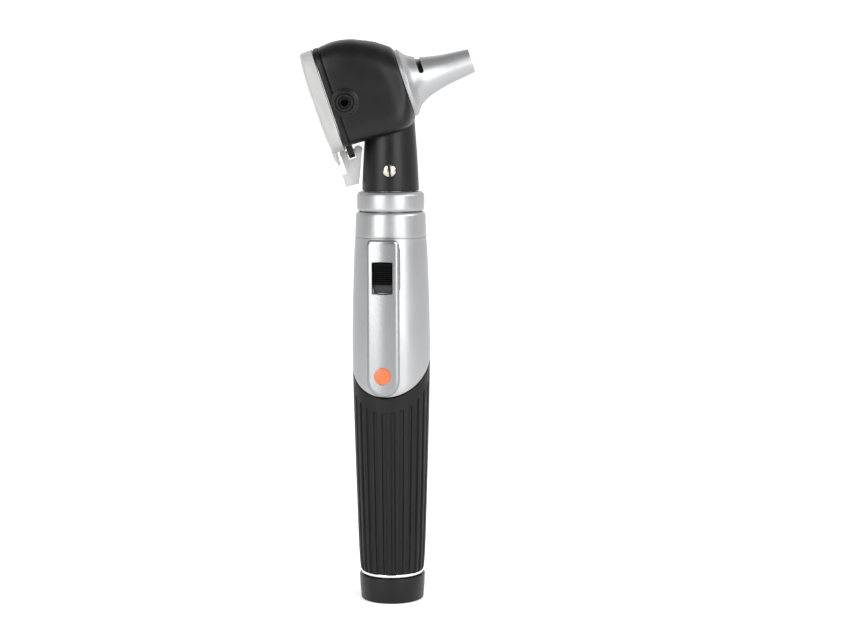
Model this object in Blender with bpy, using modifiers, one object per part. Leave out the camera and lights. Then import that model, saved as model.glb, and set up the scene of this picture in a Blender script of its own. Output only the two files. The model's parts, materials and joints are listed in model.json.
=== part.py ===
"""A pocket otoscope: a battery handle with a clip and a sliding switch, and a fibre-optic head.

Sizes are written in millimetres and become metres as each mesh is made. The handle stands along +Z, with
the centre of the base cap's underside at the origin. The head is drawn in its optical frame: x runs along
the optical axis to the ear tip, y to the far side and z up across the head. The clip is drawn in the clip
frame, which is turned about the handle so that its -y points straight out through the clip.
"""

import math

import bmesh
import bpy
from mathutils import Matrix, Vector

MM = 0.001
GAP = 0.3
ROUND_STEPS = 36
SMALL_STEPS = 18

# Handle heights, bottom to top.
CAP_TOP = 8.2
GRIP_BOTTOM = 9.5
SEAM_Z = 118.1
COLLAR_TOP = 126.0
RING_TOP = 132.4
NECK_BOTTOM = RING_TOP + GAP

# Handle radii.
TUBE_R = 8.6
TUBE_BORE_R = 7.6
GRIP_BORE_R = 8.9
SHELL_BORE_R = 9.9
PLUG_R = 7.9
SPIGOT_R = 6.9
NECK_BORE_R = 7.2
LAMP_BORE_R = 4.6

# The handle's outer profile below the seam, as (radius, height).
HANDLE_PROFILE = (
    (11.4, 117.95), (11.76, 112.3), (12.03, 104.5), (12.25, 96.8), (12.5, 85.0), (12.36, 73.4),
    (11.8, 49.8), (11.36, 34.0), (10.84, 18.0), (10.5, 12.0), (10.0, GRIP_BOTTOM),
)

# The slanted joint between the silver shell and the black grip.
JOINT_MID_Z = 77.65
JOINT_RISE = 10.4
JOINT_SLOPE = math.atan(JOINT_RISE / 12.3)
JOINT_HALF_GAP = 0.2

FLUTES = 26
FLUTE_TURN = math.radians(2.8)
FLUTE_WIDTH = 1.3
FLUTE_DEPTH = 0.5
FLUTE_TOP_DROP = 4.6

# Two AA cells.
CELL_R = 7.25
CELL_LENGTH = 50.5
CELL_NUB_R = 2.75
LOWER_CELL_Z = 10.0
UPPER_CELL_Z = LOWER_CELL_Z + CELL_LENGTH + GAP

# Clip, switch and badge, in the clip frame.
CLIP_TURN = math.radians(-9.7)
CLIP_BOTTOM = 68.0
CLIP_TOP = 117.7
CLIP_HALF_WIDTH = 5.25
CLIP_INNER = 13.4
CLIP_OUTER = 15.2
CLIP_WALL = 0.8
CLIP_WALL_Z = (102.0, 115.0)
CLIP_PIVOT = (0.0, -12.0, 114.5)
CLIP_PIN_R = 0.6
WINDOW_Z = (100.7, 110.8)
WINDOW_HALF_WIDTH = 3.35
SWITCH_HALF_WIDTH = WINDOW_HALF_WIDTH - GAP
SWITCH_Z = (103.6, 110.5)
SWITCH_RIDGES = 8
STEM_Z = (108.3, 110.1)
STEM_SLOT_Z = (105.0, 110.4)
STEM_SLOT_HALF = 1.2
BADGE_Z = 74.7
BADGE_R = 2.6

# The head, in the optical frame.
OPTICAL_TILT = math.radians(18.4)
FLANGE_CENTRE = (4.8, 0.0, 166.7)
WALL = 1.6
# Body sections: place along the axis, lowest and highest z, half width in y, and squareness above and below.
BODY_SECTIONS = (
    (-22.3, -13.15, 19.3, 11.5, 3.4, 7.0),
    (-17.0, -13.35, 19.5, 11.7, 3.2, 7.0),
    (-12.0, -13.8, 18.5, 11.8, 3.0, 7.0),
    (-9.0, -14.0, 17.2, 11.8, 2.8, 7.0),
    (-5.6, -14.1, 15.6, 11.7, 2.5, 6.0),
    (-2.8, -13.5, 13.7, 11.3, 2.25, 4.0),
    (-1.0, -12.1, 12.3, 11.0, 2.1, 2.7),
    (-0.3, -11.2, 11.3, 10.7, 2.05, 2.1),
)
CAVITY_FRONT = (-3.4, -10.0, 12.0, 9.6, 2.3, 3.0)
BEZEL_X = (-24.4, -22.6)
BEZEL_RIM = 2.2
WINDOW_PIVOT = (-23.3, 0.0, -15.1)
CLAW_WIDTH = 2.4
# Window dome: place along the axis and how far the outline draws in there.
WINDOW_DOME = ((-24.7, 0.0), (-28.0, 0.0), (-28.6, 0.5), (-29.2, 3.0), (-29.6, 6.5), (-29.8, 10.0))
PORT_CENTRE = (-19.8, 0.0, 0.0)
TIP_X = 22.1
# Cone profiles, as (radius, place along the axis), tip first.
CONE_OUTSIDE = (
    (3.8, TIP_X), (4.25, 18.2), (4.9, 12.7), (5.55, 9.6), (6.35, 6.6), (6.85, 5.2), (7.4, 3.8),
    (8.2, 2.5), (9.2, 1.7), (10.9, 1.1), (10.9, 0.0),
)
CONE_INSIDE = (
    (6.2, 0.0), (6.0, 5.0), (5.5, 6.6), (4.7, 9.6), (4.05, 12.7), (3.5, 18.2), (3.15, TIP_X),
)
CONE_SPIGOT_R = 7.9
CONE_SPIGOT_X = -3.0
SLEEVE_X = (-2.5, 21.8)
SLEEVE_WALL = (0.95, 0.55)
BAYONET_X = (5.2, 6.7)
BAYONET_ARCS = ((10, 115), (195, 255))

SCREW_Z = 139.1
SCREW_X = -0.2
SCREW_R = 2.12

# Ways to turn a piece that is drawn along its own z.
TO_X = Matrix.Rotation(math.radians(90), 4, "Y")
TO_MINUS_Y = Matrix.Rotation(math.radians(90), 4, "X")
# An outline drawn in x and y, stood up to face along x, or sideways in the clip frame.
FACING_X = Matrix(((0, 0, 1, 0), (1, 0, 0, 0), (0, 1, 0, 0), (0, 0, 0, 1)))
FACING_SIDE = Matrix(((0, 0, -1, 0), (-1, 0, 0, 0), (0, 1, 0, 0), (0, 0, 0, 1)))

for old in list(bpy.data.objects):
    bpy.data.objects.remove(old, do_unlink=True)

PARTS = bpy.data.collections.new("otoscope")
CUTTERS = bpy.data.collections.new("otoscope_cutters")
for group in (PARTS, CUTTERS):
    bpy.context.scene.collection.children.link(group)


class Frame:
    """An empty on a joint's axis. Its origin is that empty's place in the frame its pieces are drawn in."""

    def __init__(self, name, location=(0, 0, 0), turn=None, parent=None, origin=(0, 0, 0)):
        self.empty = bpy.data.objects.new(name, None)
        self.empty.empty_display_size = 5 * MM
        PARTS.objects.link(self.empty)
        self.empty.parent = parent.empty if parent else None
        self.empty.matrix_basis = Matrix.Translation(Vector(location) * MM) @ (turn or Matrix())
        self.origin = Vector(origin)


HANDLE = Frame("handle_axis")
CAP = Frame("cap_axis", parent=HANDLE)
PLUNGER = Frame("plunger_axis", parent=HANDLE)
HEAD = Frame("head_axis", parent=HANDLE)
OPTICAL = Frame("optical_axis", FLANGE_CENTRE, Matrix.Rotation(-OPTICAL_TILT, 4, "Y"), HEAD)
WINDOW = Frame("window_pivot", WINDOW_PIVOT, parent=OPTICAL, origin=WINDOW_PIVOT)
CLIP_SIDE = Frame("clip_side", turn=Matrix.Rotation(CLIP_TURN, 4, "Z"), parent=HANDLE)
CLIP = Frame("clip_pivot", CLIP_PIVOT, parent=CLIP_SIDE, origin=CLIP_PIVOT)
SWITCH = Frame("switch_slide", (0, 0, SWITCH_Z[0]), parent=CLIP_SIDE, origin=(0, 0, SWITCH_Z[0]))


def material(name, colour, roughness, metallic=0.0, alpha=1.0):
    made = bpy.data.materials.new(name)
    made.use_nodes = True
    shader = made.node_tree.nodes["Principled BSDF"]
    shader.inputs["Base Color"].default_value = (*colour, 1.0)
    shader.inputs["Roughness"].default_value = roughness
    shader.inputs["Metallic"].default_value = metallic
    shader.inputs["Alpha"].default_value = alpha
    made.diffuse_color = (*colour, alpha)
    return made


SATIN_SILVER = material("satin_silver", (0.62, 0.63, 0.64), 0.32, 1.0)
CLIP_SILVER = material("clip_silver", (0.66, 0.67, 0.68), 0.25, 1.0)
BLACK_PLASTIC = material("black_plastic", (0.028, 0.027, 0.028), 0.5)
GRIP_BLACK = material("grip_black", (0.032, 0.03, 0.031), 0.62)
SWITCH_BLACK = material("switch_black", (0.015, 0.015, 0.016), 0.5)
CLEAR_PLASTIC = material("clear_plastic", (0.9, 0.91, 0.9), 0.12, 0.0, 0.4)
CHROME = material("chrome", (0.75, 0.75, 0.76), 0.08, 1.0)
NICKEL = material("nickel", (0.7, 0.67, 0.6), 0.18, 1.0)
BRASS = material("brass", (0.72, 0.53, 0.22), 0.3, 1.0)
SPRING_STEEL = material("spring_steel", (0.5, 0.5, 0.52), 0.3, 1.0)
SEAL_RUBBER = material("seal_rubber", (0.02, 0.02, 0.02), 0.7)
INSULATOR = material("insulator", (0.55, 0.5, 0.42), 0.6)
BATTERY_WRAP = material("battery_wrap", (0.12, 0.13, 0.16), 0.4, 0.3)
FIBRE = material("fibre", (0.75, 0.74, 0.68), 0.35)
LAMP_GLASS = material("lamp_glass", (0.95, 0.95, 0.93), 0.05, 0.0, 0.35)
ORANGE = material("orange", (0.9, 0.2, 0.05), 0.4)


def add(name, mesh, frame, look, at=(0, 0, 0), turn=None):
    """Places a mesh as a part, or as a helper for Booleans where it has no look."""
    obj = bpy.data.objects.new(name, mesh)
    (PARTS if look else CUTTERS).objects.link(obj)
    obj.parent = frame.empty
    obj.matrix_basis = Matrix.Translation((Vector(at) - frame.origin) * MM) @ (turn or Matrix())
    if look:
        mesh.materials.append(look)
    else:
        obj.hide_render = True
        obj.display_type = "WIRE"
    return obj


def turned(name, profile, frame, look=None, at=(0, 0, 0), turn=None, steps=ROUND_STEPS, ring=False):
    """Turns a profile of (radius, height) about z. It runs down the outside; a ring's comes back inside."""
    mesh = bpy.data.meshes.new(name)
    edges = [(i, i + 1) for i in range(len(profile) - 1)]
    if ring:
        edges.append((len(profile) - 1, 0))
    mesh.from_pydata([(r * MM, 0, z * MM) for r, z in profile], edges, [])
    obj = add(name, mesh, frame, look, at, turn)
    screw = obj.modifiers.new("Turn", "SCREW")
    screw.steps = steps
    screw.render_steps = steps
    screw.use_merge_vertices = True
    screw.merge_threshold = 0.00001
    return obj


def cylinder(name, radius, z_range, frame, look=None, at=(0, 0, 0), turn=None, steps=SMALL_STEPS):
    low, high = z_range
    profile = [(0, high), (radius, high), (radius, low), (0, low)]
    return turned(name, profile, frame, look, at, turn, steps)


def tube(name, outer, inner, z_range, frame, look, at=(0, 0, 0), turn=None, steps=ROUND_STEPS):
    low, high = z_range
    profile = [(outer, high), (outer, low), (inner, low), (inner, high)]
    return turned(name, profile, frame, look, at, turn, steps, ring=True)


def box(name, low, high, frame, look=None, turn=None, at=(0, 0, 0)):
    """A box between two corners. A turn is made about the point at."""
    mesh = bpy.data.meshes.new(name)
    bm = bmesh.new()
    bmesh.ops.create_cube(bm, size=1)
    size = Vector(high) - Vector(low)
    middle = (Vector(high) + Vector(low)) / 2
    bmesh.ops.scale(bm, vec=size * MM, verts=bm.verts)
    bmesh.ops.translate(bm, vec=middle * MM, verts=bm.verts)
    bm.to_mesh(mesh)
    bm.free()
    return add(name, mesh, frame, look, at, turn)


def loft_into(bm, rings):
    """Skins a row of closed rings with the same number of points, and closes both ends."""
    loops = [[bm.verts.new(Vector(point) * MM) for point in ring] for ring in rings]
    made = []
    for near, far in zip(loops, loops[1:]):
        for i in range(len(near)):
            made.append(bm.faces.new((near[i - 1], near[i], far[i], far[i - 1])))
    made.append(bm.faces.new(loops[0]))
    made.append(bm.faces.new(loops[-1]))
    bmesh.ops.recalc_face_normals(bm, faces=made)


def loft(name, stacks, frame, look=None):
    """One object from one or more separate lofts."""
    mesh = bpy.data.meshes.new(name)
    bm = bmesh.new()
    for rings in stacks:
        loft_into(bm, rings)
    bm.to_mesh(mesh)
    bm.free()
    return add(name, mesh, frame, look)


def plate(name, outline, thickness, frame, look=None, at=(0, 0, 0), turn=None):
    """A flat outline in x and y, extruded to both sides of z = 0 as a filled 2D curve, then made a mesh."""
    curve = bpy.data.curves.new(name, "CURVE")
    curve.dimensions = "2D"
    curve.fill_mode = "BOTH"
    curve.extrude = thickness / 2 * MM
    spline = curve.splines.new("POLY")
    spline.points.add(len(outline) - 1)
    for point, (x, y) in zip(spline.points, outline):
        point.co = (x * MM, y * MM, 0, 1)
    spline.use_cyclic_u = True
    return add(name, mesh_of_curve(name, curve), frame, look, at, turn)


def mesh_of_curve(name, curve):
    guide = bpy.data.objects.new(name + "_curve", curve)
    CUTTERS.objects.link(guide)
    graph = bpy.context.evaluated_depsgraph_get()
    mesh = bpy.data.meshes.new_from_object(guide.evaluated_get(graph))
    mesh.name = name
    bm = bmesh.new()
    bm.from_mesh(mesh)
    bmesh.ops.remove_doubles(bm, verts=bm.verts, dist=0.000001)
    bmesh.ops.recalc_face_normals(bm, faces=bm.faces)
    bm.to_mesh(mesh)
    bm.free()
    mesh.materials.clear()
    bpy.data.objects.remove(guide, do_unlink=True)
    return mesh


def wire(name, points, radius, frame, look, at=(0, 0, 0), turn=None):
    """A round wire or rod through the points, with filled ends."""
    curve = bpy.data.curves.new(name, "CURVE")
    curve.dimensions = "3D"
    curve.bevel_depth = radius * MM
    curve.bevel_resolution = 2
    curve.use_fill_caps = True
    spline = curve.splines.new("POLY")
    spline.points.add(len(points) - 1)
    for point, place in zip(spline.points, points):
        point.co = (*(Vector(place) * MM), 1)
    return add(name, mesh_of_curve(name, curve), frame, look, at, turn)


def coil(radius, low, high, turns, points_per_turn=8):
    """Points along a helix about z."""
    count = round(turns * points_per_turn)
    places = []
    for i in range(count + 1):
        angle = 2 * math.pi * i / points_per_turn
        places.append((radius * math.cos(angle), radius * math.sin(angle), low + (high - low) * i / count))
    return places


def cut(obj, *tools):
    for tool in tools:
        modifier = obj.modifiers.new("Cut", "BOOLEAN")
        modifier.operation = "DIFFERENCE"
        modifier.object = tool


def join(obj, *tools):
    for tool in tools:
        modifier = obj.modifiers.new("Join", "BOOLEAN")
        modifier.operation = "UNION"
        modifier.object = tool


def keep_inside(obj, tool):
    modifier = obj.modifiers.new("Keep", "BOOLEAN")
    modifier.operation = "INTERSECT"
    modifier.object = tool


def arc(centre, radius, start, end, count):
    """Points on an arc, by angle in degrees."""
    angles = [math.radians(start + (end - start) * i / count) for i in range(count + 1)]
    return [(centre[0] + radius * math.cos(a), centre[1] + radius * math.sin(a)) for a in angles]


def rounded_outline(low, high, half_y, squareness, count=32):
    """A superellipse in y and z, from a true ellipse at squareness 2 towards a rectangle above it."""
    middle = (low + high) / 2
    half_z = (high - low) / 2
    points = []
    for i in range(count):
        cosine = math.cos(2 * math.pi * i / count)
        sine = math.sin(2 * math.pi * i / count)
        y = half_y * math.copysign(abs(cosine) ** (2 / squareness), cosine)
        z = middle + half_z * math.copysign(abs(sine) ** (2 / squareness), sine)
        points.append((y, z))
    return points


def section(x, low, high, half_y, squareness, low_squareness, inset=0.0):
    """A section of the head at a place along the axis, whose lower half has a squareness of its own."""
    bounds = (low + inset, high - inset, half_y - inset)
    middle = (bounds[0] + bounds[1]) / 2
    pairs = zip(rounded_outline(*bounds, squareness), rounded_outline(*bounds, low_squareness))
    return [(x, *(upper if upper[1] > middle else lower)) for upper, lower in pairs]


def radius_at(profile, height):
    """The profile's radius at a height, between its points. Heights fall along the profile."""
    for (r_high, z_high), (r_low, z_low) in zip(profile, profile[1:]):
        if z_low <= height <= z_high and z_high > z_low:
            return r_low + (r_high - r_low) * (height - z_low) / (z_high - z_low)
    return profile[0][0] if height > profile[0][1] else profile[-1][0]


def joint_height(angle):
    """Height of the slanted shell and grip joint at an angle round the handle from the clip."""
    return JOINT_MID_Z - JOINT_RISE * math.cos(angle)


def make_handle_shells():
    shell_profile = [p for p in HANDLE_PROFILE if p[1] > 70]
    shell_profile += [(12.2, 66.0), (SHELL_BORE_R, 66.0), (SHELL_BORE_R, HANDLE_PROFILE[0][1])]
    shell = turned("upper_shell", shell_profile, HANDLE, SATIN_SILVER, ring=True, steps=2 * FLUTES)
    grip_profile = [(12.5, 90.0)] + [p for p in HANDLE_PROFILE if p[1] < 89]
    grip_profile += [(GRIP_BORE_R, GRIP_BOTTOM), (GRIP_BORE_R, 90.0)]
    grip = turned("lower_grip", grip_profile, HANDLE, GRIP_BLACK, ring=True, steps=2 * FLUTES)
    slope = Matrix.Rotation(JOINT_SLOPE, 4, "X")
    shell_edge = (0, 0, JOINT_MID_Z + JOINT_HALF_GAP)
    grip_edge = (0, 0, JOINT_MID_Z - JOINT_HALF_GAP)
    below = box("shell_cutter", (-30, -30, -60), (30, 30, 0), CLIP_SIDE, turn=slope, at=shell_edge)
    above = box("grip_cutter", (-30, -30, 0), (30, 30, 60), CLIP_SIDE, turn=slope, at=grip_edge)
    cut(shell, below)
    cut(grip, above, loft("flute_cutter", [flute_rings(i) for i in range(FLUTES)], HANDLE))
    pivot_z = CLIP_PIVOT[2]
    cut(
        shell,
        box("bracket_pocket", (-3.9, -14, pivot_z - 1.9), (3.9, -9, pivot_z + 1.9), CLIP_SIDE),
        stem_slot("switch_slot_in_shell", -14, -9),
    )


def stem_slot(name, outer_y, inner_y):
    """A cutter that leaves room for the switch's stem to slide."""
    low, high = STEM_SLOT_Z
    return box(name, (-STEM_SLOT_HALF, outer_y, low), (STEM_SLOT_HALF, inner_y, high), CLIP_SIDE)


def flute_rings(index):
    """Sections up one flute, which narrow to a round top just under the slanted joint."""
    angle = math.radians(-90) + FLUTE_TURN + 2 * math.pi * index / FLUTES
    top = joint_height(angle - math.radians(-90) - CLIP_TURN) - FLUTE_TOP_DROP
    heights = [6.0, 12.0, 18.0, 34.0, 49.8, top - 0.65, top - 0.25, top]
    widths = [FLUTE_WIDTH] * 6 + [FLUTE_WIDTH * 0.75, FLUTE_WIDTH * 0.2]
    outward = Vector((math.cos(angle), math.sin(angle), 0))
    along = Vector((-math.sin(angle), math.cos(angle), 0))
    rings = []
    for height, width in zip(heights, widths):
        floor = radius_at(HANDLE_PROFILE, height) - FLUTE_DEPTH
        corners = [(floor, -width / 2), (floor, width / 2), (floor + 2, width / 2), (floor + 2, -width / 2)]
        rings.append([outward * r + along * t + Vector((0, 0, height)) for r, t in corners])
    return rings


def make_handle_core():
    tube("battery_tube", TUBE_R, TUBE_BORE_R, (3.5, 114.0), HANDLE, BRASS)
    tube("base_ring", 10.0, GRIP_BORE_R, (CAP_TOP + GAP, GRIP_BOTTOM - GAP), HANDLE, CHROME)
    for name, bottom in (("lower_battery", LOWER_CELL_Z), ("upper_battery", UPPER_CELL_Z)):
        top = bottom + CELL_LENGTH
        turned(
            name,
            [(0, top), (CELL_NUB_R, top), (CELL_NUB_R, top - 1), (6.8, top - 1), (CELL_R, top - 1.5),
             (CELL_R, bottom + 0.4), (6.8, bottom), (0, bottom)],
            HANDLE, BATTERY_WRAP, steps=24,
        )
    tube("contact_insulator", 7.3, 1.7, (111.6, 113.7), HANDLE, INSULATOR, steps=24)
    wire("contact_spring", coil(2.1, 114.25, 115.35, 1.75), 0.25, HANDLE, SPRING_STEEL)
    turned(
        "handle_socket",
        [(9.6, 125.8), (9.6, 114.3), (3.5, 114.3), (3.5, 115.6), (8.2, 115.6), (8.2, 125.8)],
        HANDLE, BRASS, ring=True,
    )
    turned(
        "top_collar",
        [(10.3, COLLAR_TOP), (10.8, 125.75), (11.1, 125.1), (11.36, SEAM_Z + GAP / 2),
         (SHELL_BORE_R, SEAM_Z + GAP / 2), (SHELL_BORE_R, COLLAR_TOP)],
        HANDLE, SATIN_SILVER, ring=True,
    )
    turned(
        "centre_contact",
        [(0, 117.3), (1.6, 117.3), (2.0, 116.9), (2.0, 115.9), (1.3, 115.9), (1.3, 112.4), (0, 112.4)],
        PLUNGER, BRASS, steps=SMALL_STEPS,
    )


def make_base_cap():
    turned(
        "base_cap",
        [(0, 2.0), (8.9, 2.0), (8.9, 4.5), (9.95, 4.5), (9.95, 6.3), (8.9, 6.3), (8.9, CAP_TOP),
         (10.3, CAP_TOP), (10.65, CAP_TOP - 0.3), (10.5, 4.0), (10.2, 0.5), (9.7, 0), (0, 0)],
        CAP, BLACK_PLASTIC,
    )
    disc = [(0, 2.9), (4.3, 2.9), (4.5, 2.7), (4.5, 2.3), (0, 2.3)]
    turned("cap_contact", disc, CAP, BRASS, steps=SMALL_STEPS)
    wire("cap_spring", coil(5.0, 3.7, 9.2, 4.0), 0.5, CAP, SPRING_STEEL)
    ring = [(9.2 + 0.42 * math.cos(a), 5.4 + 0.42 * math.sin(a))
            for a in (-math.pi * i / 3 for i in range(6))]
    turned("cap_o_ring", ring, CAP, SEAL_RUBBER, steps=24, ring=True)


def clip_outline(inset):
    """The clip seen from outside: round at the bottom, with rounded top corners."""
    half = CLIP_HALF_WIDTH - inset
    corner = 1.6 - inset * 0.7
    middle = CLIP_BOTTOM + CLIP_HALF_WIDTH
    top = CLIP_TOP - inset
    return (
        arc((0, middle), half, 180, 360, 16)
        + arc((half - corner, top - corner), corner, 0, 90, 4)
        + arc((corner - half, top - corner), corner, 90, 180, 4)
    )


def make_clip():
    rings = [
        [(x, -out, z) for x, z in clip_outline(inset)]
        for out, inset in ((CLIP_INNER, 0.0), (14.3, 0.0), (14.85, 0.35), (CLIP_OUTER, 1.1))
    ]
    clip = loft("clip_plate", [rings], CLIP, CLIP_SILVER)
    _, pivot_y, pivot_z = CLIP_PIVOT
    lug = box("clip_lug", (-2.0, -13.6, pivot_z - 1.3), (0.4, -11.2, pivot_z + 1.3), CLIP)
    sides = [
        box("clip_side_wall", (x, -13.6, CLIP_WALL_Z[0]), (x + CLIP_WALL, -11.6, CLIP_WALL_Z[1]), CLIP)
        for x in (-CLIP_HALF_WIDTH + 0.05, CLIP_HALF_WIDTH - CLIP_WALL - 0.05)
    ]
    join(clip, lug, *sides)
    half = WINDOW_HALF_WIDTH
    cut(
        clip,
        box("clip_window", (-half, -17, WINDOW_Z[0]), (half, -12.6, WINDOW_Z[1]), CLIP),
        cylinder("badge_recess", BADGE_R + GAP, (14.6, 17), CLIP, at=(0, 0, BADGE_Z), turn=TO_MINUS_Y),
        cylinder("clip_pin_hole", CLIP_PIN_R + GAP, (-5, 5), CLIP, at=CLIP_PIVOT, turn=TO_X, steps=16),
    )
    cylinder("orange_badge", BADGE_R, (14.9, 15.35), CLIP, ORANGE, at=(0, 0, BADGE_Z), turn=TO_MINUS_Y)

    bracket = box("clip_bracket", (-3.6, -13.0, pivot_z - 1.6), (3.6, -10.0, pivot_z + 1.6),
                  CLIP_SIDE, SPRING_STEEL)
    along_pin = {"at": CLIP_PIVOT, "turn": TO_X, "steps": 16}
    cut(
        bracket,
        box("bracket_slot", (-2.3, -14, pivot_z - 3), (2.3, -10.6, pivot_z + 3), CLIP_SIDE),
        cylinder("bracket_pin_hole", CLIP_PIN_R + GAP, (-5, 5), CLIP_SIDE, **along_pin),
    )
    cylinder("clip_pivot_pin", CLIP_PIN_R, (-3.5, 3.5), CLIP_SIDE, NICKEL, **along_pin)
    make_clip_spring(pivot_y, pivot_z)


def make_clip_spring(pivot_y, pivot_z):
    """A torsion spring round the clip's pin: one leg lies along the clip, the other on the bracket."""
    radius = 0.9
    first_x = 0.75
    pitch = 0.42
    turns = 2.5
    steps = 8
    count = round(turns * steps)
    points = [(first_x, pivot_y - radius, pivot_z - 2.7)]
    for i in range(count + 1):
        angle = 2 * math.pi * i / steps
        points.append((first_x + pitch * i / steps, pivot_y - radius * math.cos(angle),
                       pivot_z + radius * math.sin(angle)))
    points.append((first_x + pitch * turns, pivot_y + radius, pivot_z - 1.3))
    wire("clip_spring", points, 0.15, CLIP_SIDE, SPRING_STEEL)


def make_switch():
    half = SWITCH_HALF_WIDTH
    base = box("switch_base", (-half, -13.5, WINDOW_Z[0] + GAP), (half, -12.55, WINDOW_Z[1] - GAP),
               CLIP_SIDE, SWITCH_BLACK)
    cut(base, stem_slot("switch_slot_in_base", -15, -12))
    box("switch_contact", (-1.5, -9.35, 72.0), (1.5, -8.95, 113.9), CLIP_SIDE, BRASS)

    low, high = SWITCH_Z
    pitch = (high - low - 1.0) / SWITCH_RIDGES
    outline = [(13.8, low), (15.0, low)]
    for i in range(SWITCH_RIDGES):
        foot = low + 0.5 + pitch * i
        outline += [(15.0, foot + 0.1), (15.3, foot + 0.3), (15.3, foot + pitch - 0.15)]
    outline += [(15.0, high - 0.45), (15.0, high), (13.8, high)]
    slider = plate("switch_slider", outline, 2 * half, SWITCH, SWITCH_BLACK, turn=FACING_SIDE)
    join(slider, box("switch_stem", (-0.9, -14.3, STEM_Z[0]), (0.9, -9.8, STEM_Z[1]), SWITCH))


def make_connector():
    insert = turned(
        "connector_insert",
        [(SPIGOT_R - 0.3, 142.0), (SPIGOT_R, 141.7), (SPIGOT_R, RING_TOP), (10.3, RING_TOP), (10.75, 131.5),
         (10.75, 126.9), (10.35, 126.3), (PLUG_R, 126.3), (PLUG_R, 118.0), (PLUG_R - 0.4, 117.6),
         (LAMP_BORE_R, 117.6), (LAMP_BORE_R, 142.0)],
        HEAD, SATIN_SILVER, ring=True,
    )
    cut(insert, screw_tool("spigot_screw_hole", 1.5, (4.0, 9.0)))
    turned(
        "lamp_base",
        [(0, 129.5), (3.4, 129.5), (3.6, 128.9), (4.2, 128.5), (4.2, 118.9), (0, 118.9)],
        HEAD, NICKEL, steps=24,
    )
    tube("lamp_insulator", 3.9, 2.0, (117.9, 118.6), HEAD, INSULATOR, steps=SMALL_STEPS)
    turned("lamp_contact", [(0, 118.6), (1.7, 118.6), (1.7, 118.0), (1.2, 117.6), (0, 117.6)],
           HEAD, BRASS, steps=SMALL_STEPS)
    turned(
        "lamp_bulb",
        [(0, 136.2), (1.5, 135.8), (2.5, 134.8), (3.0, 133.2), (3.0, 129.8), (0, 129.8)],
        HEAD, LAMP_GLASS, steps=SMALL_STEPS,
    )


def screw_tool(name, radius, span):
    """A round cutter along the neck screw, between two distances from the handle's axis."""
    return cylinder(name, radius, span, HEAD, at=(SCREW_X, 0, SCREW_Z), turn=TO_MINUS_Y)


def make_neck_screw():
    screw = turned(
        "neck_screw",
        [(0, 9.15), (0.9, 9.08), (1.6, 8.85), (SCREW_R, 8.5), (SCREW_R, 8.3), (1.2, 8.3), (1.2, 5.2),
         (0, 5.2)],
        HEAD, NICKEL, at=(SCREW_X, 0, SCREW_Z), turn=TO_MINUS_Y, steps=SMALL_STEPS,
    )
    slot_turn = Matrix.Rotation(math.radians(-8), 4, "Y")
    slot_place = (SCREW_X, 0, SCREW_Z)
    cut(screw, box("screw_slot", (-0.22, -10, -3), (0.22, -8.6, 3), HEAD, turn=slot_turn, at=slot_place))


def make_housing():
    housing = loft("head_housing", [[section(*row) for row in BODY_SECTIONS]], OPTICAL, BLACK_PLASTIC)
    neck = turned(
        "neck_form",
        [(0, 156.1), (7.7, 156.1), (7.9, 153.0), (8.45, 146.0), (9.1, NECK_BOTTOM), (0, NECK_BOTTOM)],
        HEAD,
    )
    rear = BODY_SECTIONS[0]
    cavity_rows = [section(-23.5, *rear[1:], inset=WALL)]
    cavity_rows += [section(*row, inset=WALL) for row in BODY_SECTIONS[1:5]]
    cavity_rows.append(section(*CAVITY_FRONT))
    join(housing, neck)
    cut(
        housing,
        loft("cavity_form", [cavity_rows], OPTICAL),
        cylinder("neck_bore", NECK_BORE_R, (131.0, 150.0), HEAD, steps=ROUND_STEPS),
        cylinder("fibre_passage", 3.2, (149.0, 158.0), HEAD),
        cylinder("front_hole", CONE_SPIGOT_R + GAP, (-6.0, 1.0), OPTICAL, turn=TO_X, steps=ROUND_STEPS),
        cylinder("seal_seat", 9.4, (-1.3, 1.0), OPTICAL, turn=TO_X, steps=ROUND_STEPS),
        cylinder("port_hole", 2.6, (8.0, 14.0), OPTICAL, at=PORT_CENTRE, turn=TO_MINUS_Y),
        screw_tool("neck_screw_hole", 1.5, (4.0, 12.0)),
        screw_tool("neck_screw_seat", SCREW_R + GAP, (8.0, 12.0)),
    )


def make_port():
    turned(
        "insufflation_port",
        [(1.4, 12.7), (2.0, 12.7), (2.1, 13.3), (2.95, 13.3), (3.0, 12.8), (3.85, 12.7), (3.9, 12.3),
         (4.4, 12.25), (4.4, 12.1), (2.3, 12.1), (2.3, 9.2), (1.4, 9.2)],
        OPTICAL, BLACK_PLASTIC, at=PORT_CENTRE, turn=TO_MINUS_Y, steps=24, ring=True,
    )


def rear_ring(x, inset):
    return section(x, *BODY_SECTIONS[0][1:], inset=inset)


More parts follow.
